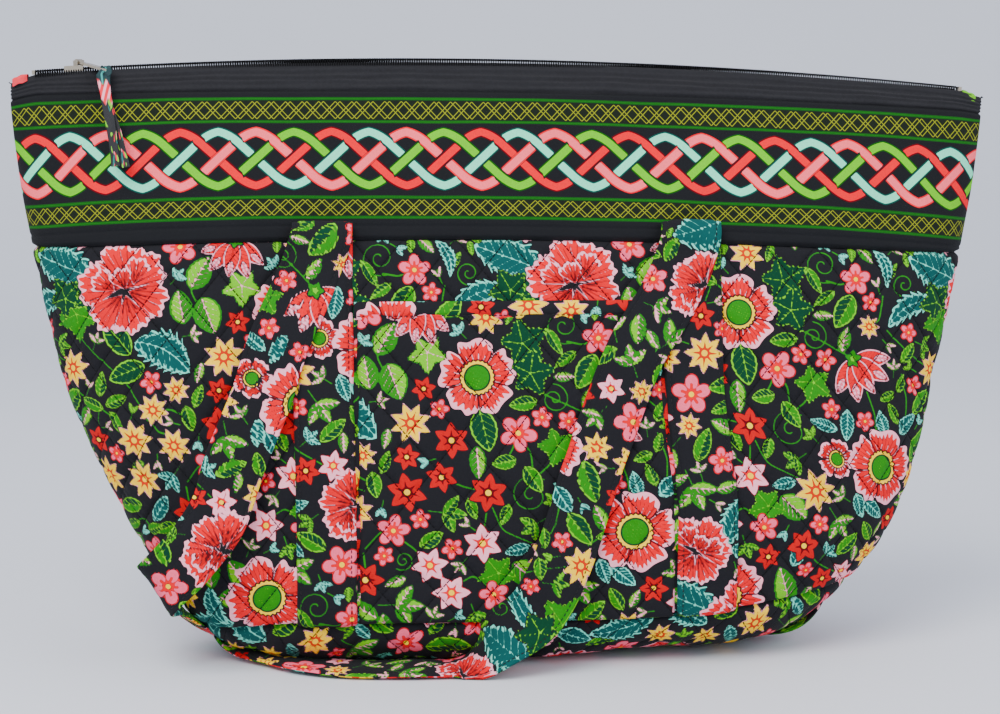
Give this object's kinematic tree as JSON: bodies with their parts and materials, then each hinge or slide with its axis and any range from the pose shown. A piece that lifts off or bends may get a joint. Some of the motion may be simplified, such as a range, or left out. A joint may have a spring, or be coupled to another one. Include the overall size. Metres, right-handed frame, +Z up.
{
  "type": "knitting bag",
  "caption": "Wide quilted fabric bag with a full-width top zip, a patterned band, strap handles and a front slip pocket, for carrying knitting.",
  "frame": {"origin": "on the floor under the middle of the bag", "axes": "+X along the zip, to the right seen from the front; front face towards -Y; +Z up"},
  "size_m": [0.6348, 0.1788, 0.3874],
  "materials": {
    "floral_print": "quilted matte cotton printed with bright flowers and leaves on black",
    "band_print": "matte cotton printed with an interlaced cord pattern on black",
    "zip_tape": "matte black woven tape",
    "zip_coil": "satin black nylon coil",
    "slider_metal": "worn bright nickel plate",
    "lining_cloth": "plain teal cotton",
    "stiff_board": "plain fibre board",
    "dark_thread": "black polyester thread",
    "binding_cloth": "matte cotton strip with a small print",
    "coral_tab": "coral cotton",
    "lime_tab": "lime cotton",
    "ribbon_print": "printed cotton tape in teal, pink and lime on black"
  },
  "bodies": {
    "bag": {"front_quilted_panel": "floral_print", "back_quilted_panel": "floral_print", "base_panel": "floral_print", "front_band": "band_print", "back_band": "band_print", "zip_tape_front": "zip_tape", "zip_tape_back": "zip_tape", "lining_front": "lining_cloth", "lining_back": "lining_cloth", "lining_base": "lining_cloth", "interior_pocket": "lining_cloth", "base_board": "stiff_board", "front_strap_left": "floral_print", "front_strap_right": "floral_print", "back_strap_left": "floral_print", "back_strap_right": "floral_print", "front_bar_tacks": "dark_thread", "back_bar_tacks": "dark_thread", "front_pocket_panel": "floral_print", "front_pocket_binding": "binding_cloth", "zip_coil_front": "zip_coil", "zip_coil_back": "zip_coil", "zip_start_stop": "slider_metal", "zip_end_stop": "slider_metal", "zip_end_tab_left": "coral_tab", "zip_end_tab_right": "lime_tab"},
    "slider": {"zip_slider_body": "slider_metal", "zip_slider_bail": "slider_metal"},
    "pull": {"zip_pull_tab": "slider_metal"},
    "ribbon": {"zip_pull_ribbon": "ribbon_print"},
    "handle_front": {"front_handle": "floral_print"},
    "handle_back": {"back_handle": "floral_print"}
  },
  "joints": [
    {"name": "zip_travel", "type": "hinge", "parent": "bag", "child": "slider", "pos_m": [-0.06, 0, -3.255], "axis": [0, 1, 0], "range_deg": [0, 8.7]},
    {"name": "pull_flip", "type": "hinge", "parent": "slider", "child": "pull", "pos_m": [-0.27036, 0, 0.38518], "axis": [-0.5736, -0.8192, 0], "range_deg": [0, 150]},
    {"name": "ribbon_swing", "type": "hinge", "parent": "pull", "child": "ribbon", "pos_m": [-0.25389, -0.01154, 0.38072], "axis": [0, -0.9205, 0.3907], "range_deg": [-45, 45]},
    {"name": "front_handle_swing", "type": "hinge", "parent": "bag", "child": "handle_front", "pos_m": [0, -0.0425, 0.2815], "axis": [-1, 0, 0], "range_deg": [0, 170]},
    {"name": "back_handle_swing", "type": "hinge", "parent": "bag", "child": "handle_back", "pos_m": [0, 0.0425, 0.2815], "axis": [1, 0, 0], "range_deg": [0, 170]}
  ]
}
